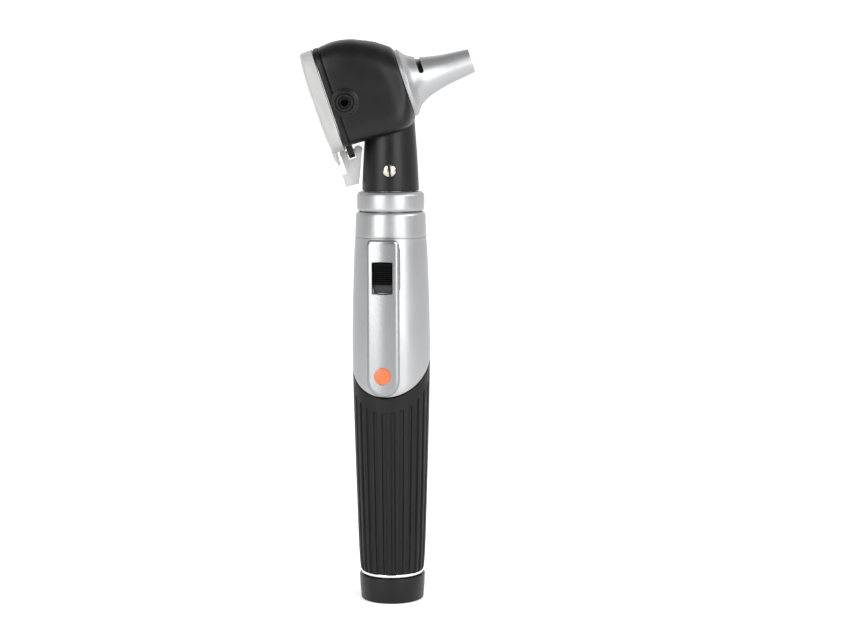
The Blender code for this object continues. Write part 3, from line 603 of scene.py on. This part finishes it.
def make_upper_shell():
    steps = 176
    angles = [2 * math.pi * i / steps for i in range(steps)]

    def row(inset, rise, share=0.0):
        """Share runs from 0 along the slanted edge to 1 level at the top."""
        points = []
        for angle in angles:
            radius = handle_radius(joint_z(angle, SHELL_EDGE_R, 0)) - inset
            edge = joint_z(angle, radius, JOINT_HALF_GAP)
            z = (edge + rise) * (1 - share) + (SHELL_TOP - 0.15) * share
            points.append(wall_point(angle, handle_radius(z) - inset, z))
        return points

    rows = [[wall_point(a, SHELL_BORE_R, joint_z(a, SHELL_BORE_R, JOINT_HALF_GAP)) for a in angles]]
    rows += [row(inset, rise) for inset, rise in rounded_edge(JOINT_ROUND)]
    rows += [row(0, JOINT_ROUND, i / 24) for i in range(1, 25)]
    rows.append([wall_point(a, handle_radius(SHELL_TOP) - 0.12, SHELL_TOP) for a in angles])
    rows.append([wall_point(a, SHELL_BORE_R, SHELL_TOP) for a in angles])
    pivot_z = CLIP_PIVOT[2]
    mesh = carve(grid_mesh(rows, loop=True), [
        block((-3.9, -14, pivot_z - 1.9), (3.9, -9, pivot_z + 1.9), CLIP, 0.3),
        block((-SLOT_HALF_WIDTH, -14, SLOT_Z[0]), (SLOT_HALF_WIDTH, -9, SLOT_Z[1]), CLIP, 0.3),
    ])
    piece("upper_shell_sleeve", mesh, "satin_silver", "handle", "upper_shell")


def make_handle_rings():
    low, high = COLLAR_Z
    side = curve_points(HANDLE_CURVE, low + 0.25, 124.9, 6)
    collar = [(SHELL_BORE_R, high), (10.35, high, 0.1), (10.85, high - 0.3, 0.3), (11.12, high - 0.95, 0.4)]
    collar += side[::-1]
    collar += [
        (11.36, SHELL_TOP + 0.14, 0.06), (11.15, SHELL_TOP + 0.14), (11.15, SHELL_TOP + 0.02),
        (SHELL_BORE_R, SHELL_TOP + 0.02),
    ]
    piece("top_collar_ring", lathe(softened(collar), ring=True), "satin_silver", "handle", "top_collar")

    low, high = RING_Z[0], GRIP_BOTTOM - 0.02
    ring = [(10.05, high, 0.2), (10.05, low, 0.3), (GRIP_BORE_R, low), (GRIP_BORE_R, high)]
    band = lathe(softened(ring, closed=True), ring=True)
    piece("base_ring_band", band, "chrome", "handle", "base_ring")


def make_base_cap():
    profile = [
        (0, 2.0), (8.9, 2.0), (8.9, 4.5), (9.95, 4.5), (9.95, 6.3), (8.9, 6.3), (8.9, CAP_TOP),
        (10.65, CAP_TOP, 0.35), (10.5, 4.5, 0.5), (10.15, 0, 0.5), (7.6, 0, 0.2), (7.4, 0.35, 0.2), (0, 0.35),
    ]
    piece("base_cap_cup", lathe(softened(profile)), "black_plastic", "cap", "base_cap")


def make_connector():
    low, high = INSERT_Z
    profile = [
        (4.6, high, 0.1), (6.9, high, 0.3), (6.9, 132.4), (10.05, 132.4, 0.25), (10.75, 131.45, 0.35),
        (10.78, 129.2, 0.5), (10.75, 126.95, 0.35), (10.35, 126.3, 0.1), (7.9, 126.3), (7.9, low, 0.4),
        (4.6, low),
    ]
    mesh = carve(lathe(softened(profile, closed=True), ring=True), [neck_screw_rod(SCREW_HOLE_R, 4.0, 9.0)])
    piece("connector_body", mesh, "satin_silver", "head", "connector_insert")


def neck_screw_rod(radius, low, high):
    """A round cutter along the neck screw, between two distances from the handle's axis."""
    return rod(radius, low, high, shifted(SCREW_X, 0, SCREW_Z) @ TO_MINUS_Y)


# ---- clip and switch -----------------------------------------------------------------------------------


def clip_ring(out, inset, crown=0.0):
    """The clip seen from outside: round at the bottom, with rounded top corners. A crown lowers its sides."""
    half = CLIP_HALF_WIDTH - inset
    corner = max(1.7 - inset * 0.7, 0.3)
    middle = CLIP_BOTTOM + CLIP_HALF_WIDTH
    top = CLIP_TOP - inset
    side = [middle + (top - corner - middle) * i / 24 for i in range(1, 24)]
    outline = arc((0, middle), half, 180, 360, 32) + [(half, z) for z in side]
    outline += arc((half - corner, top - corner), corner, 0, 90, 8)
    outline += [((half - corner) * (1 - i / 8), top) for i in range(1, 16)]
    outline += arc((corner - half, top - corner), corner, 90, 180, 8) + [(-half, z) for z in reversed(side)]
    return [(x, crown * (x / CLIP_HALF_WIDTH) ** 2 - out, z) for x, z in outline]


def make_clip():
    """The crowned plate with its side walls, pivot lug, switch window and badge."""
    back = [(CLIP_INNER, 0.9), (CLIP_INNER, 0.25), (CLIP_INNER + 0.07, 0.07), (CLIP_INNER + 0.25, 0.0)]
    front = [(CLIP_OUTER - CLIP_EDGE_DEPTH * (1 - math.sin(a)), CLIP_EDGE_WIDTH * (1 - math.cos(a)))
             for a in (math.pi / 2 * i / 10 for i in range(11))]
    front += [(CLIP_OUTER, inset) for inset in (1.6, 2.0, 2.5, 3.0, 3.6, 4.2, 4.8)]
    rings = [clip_ring(*row) for row in back] + [clip_ring(*row, CLIP_CROWN) for row in front]
    plate = grid_mesh(rings, CLIP)
    pivot_z = CLIP_PIVOT[2]
    walls = [block((x, -13.6, CLIP_WALL_Z[0]), (x + CLIP_WALL, -11.6, CLIP_WALL_Z[1]), CLIP, 0.12)
             for x in (-CLIP_HALF_WIDTH + 0.05, CLIP_HALF_WIDTH - CLIP_WALL - 0.05)]
    lug = block((-2.0, -13.6, pivot_z - 1.3), (0.4, -11.2, pivot_z + 1.3), CLIP, 0.25)
    solid = carve(plate, [lug, *walls], "UNION")
    mesh = carve(solid, [
        clip_window(),
        rod(BADGE_R + 0.12, 14.75, 15.25, CLIP @ shifted(0, 0, BADGE_Z) @ TO_MINUS_Y, 0.12),
        rod(CLIP_PIN_R + GAP, -5, 5, CLIP @ shifted(*CLIP_PIVOT) @ TO_X),
    ])
    piece("pocket_clip", mesh, "clip_silver", "clip", "clip_plate", sharp=30)

    disc = softened([(0, 14.9), (BADGE_R, 14.9), (BADGE_R, 15.22, 0.12), (1.8, 15.33, 0.4), (0, 15.35)])
    place = CLIP @ shifted(0, 0, BADGE_Z) @ TO_MINUS_Y
    piece("badge_disc", lathe(disc, place), "orange", "clip", "orange_badge")


def clip_window():
    """A cutter with rounded corners, flared at the clip's face."""
    low, high = WINDOW_Z
    rows = []
    for out, grow in ((12.6, 0), (14.95, 0), (15.12, 0.06), (15.5, 0.45)):
        half = WINDOW_HALF_WIDTH + grow
        corner = 0.35 + grow
        side = half - corner
        foot, head = low - grow + corner, high + grow - corner
        ends = []
        for x, z, start in ((side, foot, 270), (side, head, 0), (-side, head, 90), (-side, foot, 180)):
            ends += arc((x, z), corner, start, start + 90, 6)
        rows.append([(x, -out, z) for x, z in ends])
    return grid_mesh(rows, CLIP)


def make_switch():
    """The dark floor with its ring mark, and the ribbed slider on its stem."""
    half = SWITCH_HALF_WIDTH
    low, high = WINDOW_Z
    floor = block((-half, -13.5, low + GAP), (half, -12.55, high - GAP), CLIP, 0.15)
    slot = block((-SLOT_HALF_WIDTH, -15, SLOT_Z[0]), (SLOT_HALF_WIDTH, -12, SLOT_Z[1]), CLIP, 0.2)
    hoop = [(0.8 + 0.11 * x, 13.5 + 0.12 * z) for x, z in arc((0, 0), 1, 0, 330, 11)]
    mark = lathe(hoop, CLIP @ shifted(0, 0, MARK_Z) @ TO_MINUS_Y, ring=True, steps=40)
    mesh = united(carve(floor, [slot]), mark)
    piece("switch_floor", mesh, "switch_black", "handle", "switch_base", finish=FLOOR_FINISH)
    # The ring mark's faces get the lighter colour, a painted highlight on the raised ring.
    mesh.materials.append(MARK_HIGHLIGHT_FINISH)
    for face in mesh.polygons[-len(mark.polygons):]:
        face.material_index = 1

    low, high = SWITCH_Z
    pitch = (high - low - 1.0) / SWITCH_RIDGES
    outline = [(13.8, low), (14.8, low), (15.0, low + 0.12)]
    for i in range(SWITCH_RIDGES):
        foot = low + 0.5 + pitch * i
        outline += [(15.02, foot), (15.22, foot + pitch * 0.2), (15.3, foot + pitch * 0.38),
                    (15.3, foot + pitch * 0.7), (15.2, foot + pitch * 0.9)]
    outline += [(15.02, high - 0.5), (15.0, high - 0.12), (14.8, high), (13.8, high)]
    outwards = CLIP @ Matrix.Rotation(math.radians(-90), 4, "Z")
    slider = side_plate(outline, half, 0.14, outwards)
    stem = block((-0.9, -14.3, STEM_Z[0]), (0.9, -9.8, STEM_Z[1]), CLIP, 0.15)
    piece("ribbed_slider", united(slider, stem), "switch_black", "switch", "switch_slider")


# ---- head ----------------------------------------------------------------------------------------------


def body_row(x, inset=0.0):
    return oval_ring(x, eased(BODY_SECTIONS, x), inset)


def make_housing():
    """The hollow head body joined to its neck, with the holes for the lamp, cone, port and screw."""
    rear, front = BODY_SECTIONS[0][0], BODY_SECTIONS[-1][0]
    places = [rear + (front - rear) * (1 - (1 - i / 36) ** 1.4) for i in range(37)]
    rows = [body_row(rear, 0.25), body_row(rear + 0.08, 0.08)]
    rows += [body_row(x) for x in places if rear + 0.25 < x < front - 0.2]
    rows += [body_row(front - 0.08, 0.06), body_row(front, 0.2)]
    neck = [
        (0, 156.1), (7.7, 156.1), (7.9, 153.0), (8.45, 146.0), (8.77, 140.0), (9.1, NECK_BOTTOM, 0.35),
        (0, NECK_BOTTOM),
    ]
    body = carve(grid_mesh(rows, OPTICAL), [lathe(softened(neck))], "UNION")
    cavity = [oval_ring(-23.5, BODY_SECTIONS[0][1:], WALL)]
    cavity += [oval_ring(row[0], row[1:], WALL) for row in BODY_SECTIONS[1:5]]
    cavity.append(oval_ring(CAVITY_FRONT[0], CAVITY_FRONT[1:]))
    mesh = carve(body, [
        grid_mesh(cavity, OPTICAL),
        rod(7.2, 131.0, 150.0),
        rod(3.2, 149.0, 158.0),
        rod(CONE_SPIGOT_R + GAP, -6.0, 1.0, OPTICAL @ TO_X),
        rod(9.4, -1.3, 1.0, OPTICAL @ TO_X),
        rod(2.6, 8.0, 14.0, OPTICAL @ shifted(*PORT_CENTRE) @ TO_MINUS_Y),
        neck_screw_rod(SCREW_HOLE_R, 4.0, 12.0),
        neck_screw_rod(SCREW_R + 0.12, 8.0, 12.0),
    ])
    piece("head_body", mesh, "black_plastic", "head", "head_housing", sharp=40)


def make_neck_screw():
    dome = [(0, 9.15), (0.6, 9.12), (1.2, 9.0), (1.7, 8.78), (SCREW_R, 8.5, 0.12), (SCREW_R, 8.3), (1.2, 8.3),
            (1.2, 5.2), (0, 5.2)]
    centre = shifted(SCREW_X, 0, SCREW_Z)
    place = centre @ Matrix.Rotation(math.radians(SCREW_SLOT_TURN), 4, "Y")
    slot = block((-0.24, -10, -3), (0.24, -8.35, 3), place)
    mesh = carve(lathe(softened(dome), centre @ TO_MINUS_Y, steps=SMALL_STEPS), [slot])
    piece("slotted_screw", mesh, "nickel", "head", "neck_screw")
    # The faces inside the screw slot get the painted shade.
    mesh.materials.append(SLOT_SHADE_FINISH)
    for face in mesh.polygons:
        inside = place.inverted() @ face.center
        face.material_index = int(abs(inside.x) < 0.3 * MM and inside.y < -8.3 * MM)


def make_port():
    """The port has an inner tube, a bore with six flats, a raised ring, a groove and a low pad round it."""
    profile = [
        (1.25, 12.75, 0.05), (1.55, 12.75, 0.08), (1.6, 11.9), (1.86, 11.9), (1.9, 13.1, 0.05),
        (2.08, 13.3, 0.08), (2.65, 13.3, 0.14), (2.7, 12.1), (2.9, 12.1), (2.95, 12.6, 0.06),
        (3.75, 12.5, 0.1), (3.9, 12.1, 0.06), (4.2, 11.98, 0.1), (4.6, 11.7), (4.6, 11.6), (2.3, 11.6),
        (2.3, 9.2), (1.25, 9.2),
    ]
    place = OPTICAL @ shifted(*PORT_CENTRE) @ TO_MINUS_Y
    turns = [2 * math.pi * i / 72 for i in range(72)]
    rows = []
    for radius, z in softened(profile, closed=True):
        bulge = 0.08 if 1.8 < radius < 2.0 and z > 11 else 0.0
        reach = [radius * (1 + bulge * abs(math.sin(3 * a))) for a in turns]
        rows.append([(r * math.cos(a), r * math.sin(a), z) for r, a in zip(reach, turns)])
    piece("air_port", grid_mesh(rows, place, loop=True), "black_plastic", "head", "insufflation_port")


def make_bezel():
    """The strip round the back, stepped at its front to leave a dark line, with the window's lug and pin."""
    low_x, high_x = BEZEL_X
    outline = BODY_SECTIONS[0][1:]
    path = [
        (high_x, 0.7), (high_x - 0.3, 0.7), (high_x - 0.3, 0.1), (high_x - 0.36, 0.0),
        (low_x + 0.4, 0.0), (low_x + 0.12, 0.1), (low_x, 0.35),
        (low_x, BEZEL_RIM - 0.15), (low_x + 0.15, BEZEL_RIM), (high_x, BEZEL_RIM),
    ]
    band = grid_mesh([oval_ring(x, outline, inset) for x, inset in path], OPTICAL, loop=True)
    half = (high_x - low_x) / 2
    outline = arc((0, WINDOW_PIVOT_Z), 1.9, 180, 360, 24) + [(1.9, -11.0), (-1.9, -11.0)]
    facing_x = OPTICAL @ shifted((low_x + high_x) / 2, 0, 0) @ Matrix.Rotation(math.radians(90), 4, "Z")
    lug = side_plate(outline, half, 0.12, facing_x)
    mesh = carve(carve(band, [lug], "UNION"), [pivot_hole()])
    piece("rear_rim", mesh, "black_plastic", "head", "rear_bezel")

    pin = softened([(0, -19.6), (0.6, -19.6, 0.15), (0.6, -26.9, 0.15), (0, -26.9)])
    mesh = lathe(pin, OPTICAL @ shifted(0, 0, WINDOW_PIVOT_Z) @ TO_X, steps=40)
    piece("swivel_pin", mesh, "nickel", "head", "window_pivot_pin")


def pivot_hole():
    return rod(PIVOT_HOLE_R, -32, -18, OPTICAL @ shifted(0, 0, WINDOW_PIVOT_Z) @ TO_X)


def window_rings(face_x):
    """The domed window: a flat face, straight sides and a low dome."""
    face = [(face_x, 0.15), (face_x - 0.05, 0.04), (face_x - 0.15, 0)]
    side = [(-27.9, 0), (-28.15, 0.06), (-28.34, 0.2)]
    insets = [0.45 + 11.6 * (i / 16) ** 1.3 for i in range(17)]
    dome = [(-28.48 - 1.32 * (1 - (1 - inset / 12.4) ** 2), inset) for inset in insets]
    return [oval_ring(x, WINDOW_OUTLINE, inset) for x, inset in face + side + dome]


def lens_prism(inset):
    return grid_mesh([oval_ring(x, LENS_OUTLINE, inset) for x in (-32, -22)], OPTICAL)


def make_window():
    """The clear frame with its claw and pull flap, and the lens that sits in it."""
    claw = [(-25.2, -12.8), (-26.7, -12.8), (-26.7, -21.3), (-28.3, -21.3), (-28.3, -25.2), (-24.2, -25.5)]
    claw += arc((-20.95, WINDOW_PIVOT_Z), 1.25, -30, 180, 20)
    claw += [(-22.2, -17.4), (-24.5, -17.4), (-24.7, -17.1)]
    flap = [
        (-27.7, -12.8), (-28.95, -12.8), (-28.95, -14.5), (-28.75, -16.4), (-28.05, -18.1), (-27.95, -16.0),
    ]
    claw_plate = side_plate(claw, CLAW_HALF_WIDTH, 0.15, OPTICAL)
    flap_plate = side_plate(flap, FLAP_HALF_WIDTH, 0.12, OPTICAL)
    rim = carve(grid_mesh(window_rings(WINDOW_FACE_X), OPTICAL), [lens_prism(0)])
    mesh = carve(carve(rim, [claw_plate, flap_plate], "UNION"), [pivot_hole()])
    piece("swivel_window", mesh, "clear_plastic", "window", "window_frame")

    lens = carve(grid_mesh(window_rings(WINDOW_FACE_X - 0.3), OPTICAL), [lens_prism(0.15)], "INTERSECT")
    piece("lens_glass", lens, "clear_plastic", "window", "magnifier_lens", finish=LENS_FINISH)


def slot_cutter(start, end):
    """A curved slot through the cone with round ends and a fine chamfer. Angles run from the near side up."""
    low_x, high_x = BAYONET_X
    middle = (low_x + high_x) / 2
    half = (high_x - low_x) / 2
    reach = math.degrees(half / BAYONET_MEAN_R)
    turn_in = [reach * (1 - math.cos(math.pi / 2 * i / 6)) for i in range(7)]
    angles = [start + t for t in turn_in]
    angles += [start + reach + (end - start - 2 * reach) * i / 24 for i in range(1, 24)]
    angles += [end - t for t in reversed(turn_in)]
    rings = []
    for angle in angles:
        left = min(angle - start, end - angle, reach)
        share = max(math.sqrt(1 - (1 - left / reach) ** 2), 0.08)
        direction = Vector((0, -math.cos(math.radians(angle)), math.sin(math.radians(angle))))
        corners = []
        for x, radius in zip(BAYONET_X, BAYONET_R):
            side = math.copysign(half * share, x - middle)
            flared = side + math.copysign(8.72 - radius, side)
            corners.append([(5.0, side), (radius - 0.12, side), (8.6, flared)])
        outline = corners[0] + corners[1][::-1]
        rings.append([direction * r + Vector((middle + x, 0, 0)) for r, x in outline])
    return grid_mesh(rings, OPTICAL)


def make_cone():
    outside = curve_points(CONE_OUTSIDE, 1.9, TIP_X, 48)
    profile = [(3.2, TIP_X, 0.1), (3.8, TIP_X, 0.08)] + outside[-2::-1]
    profile += [
        (10.5, 1.15, 0.15), (10.9, 0.95, 0.2), (10.9, -0.24, 0.1), (9.5, -0.24), (9.3, 0.0),
        (CONE_SPIGOT_R, 0.0), (CONE_SPIGOT_R, CONE_SPIGOT_X, 0.2), (CONE_INSIDE[-1][1], CONE_SPIGOT_X),
    ]
    profile += [(radius, x) for x, radius in reversed(CONE_INSIDE[1:])]
    cutters = [slot_cutter(start, end) for start, end in BAYONET_ARCS]
    mesh = carve(lathe(softened(profile, closed=True), OPTICAL @ TO_X, ring=True), cutters)
    piece("ear_cone", mesh, "satin_silver", "head", "speculum_cone", sharp=40)


def make_sleeve():
    """The black inner sleeve, ribbed where the bayonet slots show it, and the light ring in its front end."""
    def fit(x):
        return eased(CONE_INSIDE, x)[0] - GAP

    def rib(x):
        return 0.16 * (math.sin(2 * math.pi * x / 0.9) > 0) if 4.0 < x < 8.2 else 0.0

    places = [SLEEVE_REAR_X, 0.0, 2.0, 4.0] + [4.05 + 0.15 * i for i in range(28)]
    places += [8.4, 9.6, 11.2, 12.7, 14.5, 16.4, 18.2, 20.0, SLEEVE_FRONT_X]
    outside = [(fit(x) - rib(x), x) for x in places]
    unribbed = [x for x in reversed(places) if not 4 < x < 8.3]
    inside = [(fit(x) - 0.5 - 0.4 * (SLEEVE_FRONT_X - x) / 24, x) for x in unribbed]
    mesh = lathe(outside + inside, OPTICAL @ TO_X, ring=True, steps=72)
    piece("inner_sleeve", mesh, "black_plastic", "head", "fibre_sleeve")

    outer, inner = fit(SLEEVE_FRONT_X) - 0.08, fit(SLEEVE_FRONT_X) - 0.4
    front = SLEEVE_FRONT_X + 0.12
    ring = [(outer, front), (outer, front - 0.5), (inner, front - 0.5), (inner, front)]
    piece("light_ring", lathe(ring, OPTICAL @ TO_X, ring=True, steps=72), "fibre", "head")


# ---- the rest of the frame -----------------------------------------------------------------------------


def make_contact_spring():
    """The CAD spring again, as a mesh of its own."""
    node = frame["nodes"]["contact_spring"]
    mesh = node.data.copy()
    mesh.transform(node.matrix_world)
    coil = piece("contact_coil", mesh, "spring_steel", "handle", "contact_spring")
    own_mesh(coil)


def finish_cad_nodes():
    """The inner pieces keep their CAD meshes and get the finish of their own slot."""
    for name, node in frame["nodes"].items():
        slot = node.material_slots[0].material.name.split(".")[0]
        node.material_slots[0].material = FINISHES[slot]


# ---- scene ---------------------------------------------------------------------------------------------


def plain(name, colour, roughness, glow):
    made = Nodes(name)
    cloudy = made.noise(6, 2.0)
    made.into("Base Color", made.mixed(made.between(cloudy, 0, 1), colour, tinted(colour, 0.985)))
    made.fix(Roughness=roughness, Specular_IOR_Level=0.2, Emission_Color=(1, 1, 1, 1), Emission_Strength=glow)
    return made.material


def make_backdrop():
    """A pale floor that curves up into a wall behind."""
    reach, back, up, bend = 12.0, 1.4, 3.0, 0.5
    profile = [(-reach, 0.0), (back - bend, 0.0)]
    profile += [(back - bend + bend * math.sin(a), bend * (1 - math.cos(a)))
                for a in (math.pi / 2 * i / 16 for i in range(1, 17))]
    profile.append((back, up))
    mesh = bpy.data.meshes.new("backdrop")
    mesh.from_pydata([(x, y, z) for y, z in profile for x in (-reach, reach)], [],
                     [(2 * i, 2 * i + 1, 2 * i + 3, 2 * i + 2) for i in range(len(profile) - 1)])
    mesh.shade_smooth()
    mesh.materials.append(plain("pale_floor", (0.92, 0.92, 0.92), 0.6, glow=0.36))
    floor = bpy.data.objects.new("backdrop", mesh)
    bpy.context.scene.collection.objects.link(floor)


def softbox(name, azimuth, elevation, size, power):
    """A soft light that faces the otoscope, from degrees right of the camera and degrees up."""
    across, up = math.radians(azimuth), math.radians(elevation)
    toward = Vector((math.sin(across) * math.cos(up), -math.cos(across) * math.cos(up), math.sin(up)))
    light = bpy.data.lights.new(name, "AREA")
    light.shape = "RECTANGLE"
    light.size, light.size_y = size
    light.energy = power
    obj = bpy.data.objects.new(name, light)
    obj.location = Vector((0, 0, LIGHT_TARGET_Z)) + toward * LIGHT_DISTANCE
    obj.rotation_euler = toward.to_track_quat("Z", "Y").to_euler()
    bpy.context.scene.collection.objects.link(obj)


def make_lights():
    for name, (azimuth, elevation, size, power) in SOFTBOXES.items():
        softbox(name, azimuth, elevation, size, power)
    world = bpy.data.worlds.new("studio")
    world.use_nodes = True
    tree = world.node_tree
    background = tree.nodes["Background"]
    background.inputs["Color"].default_value = (0.97, 0.985, 1.0, 1)
    strength = tree.nodes.new("ShaderNodeMapRange")
    strength.inputs["To Min"].default_value = WORLD_LIGHT
    strength.inputs["To Max"].default_value = WORLD_SEEN
    path = tree.nodes.new("ShaderNodeLightPath")
    tree.links.new(path.outputs["Is Camera Ray"], strength.inputs["Value"])
    tree.links.new(strength.outputs["Result"], background.inputs["Strength"])
    bpy.context.scene.world = world
    bpy.context.scene.view_settings.view_transform = "Standard"


def make_camera():
    camera = bpy.data.cameras.new("camera")
    camera.lens = CAMERA_LENS
    camera.sensor_width = 36
    camera.clip_start, camera.clip_end = 0.05, 20
    obj = bpy.data.objects.new("camera", camera)
    down = Matrix.Rotation(math.radians(90 - CAMERA_PITCH), 4, "X")
    roll = Matrix.Rotation(math.radians(CAMERA_ROLL), 4, "Z")
    obj.matrix_world = Matrix.Translation(Vector(CAMERA_PLACE)) @ down @ roll
    bpy.context.scene.collection.objects.link(obj)
    bpy.context.scene.camera = obj


make_lower_grip()
make_upper_shell()
make_handle_rings()
make_base_cap()
make_connector()
make_clip()
make_switch()
make_housing()
make_neck_screw()
make_port()
make_bezel()
make_window()
make_cone()
make_sleeve()
make_contact_spring()
finish_cad_nodes()
make_backdrop()
make_lights()
make_camera()
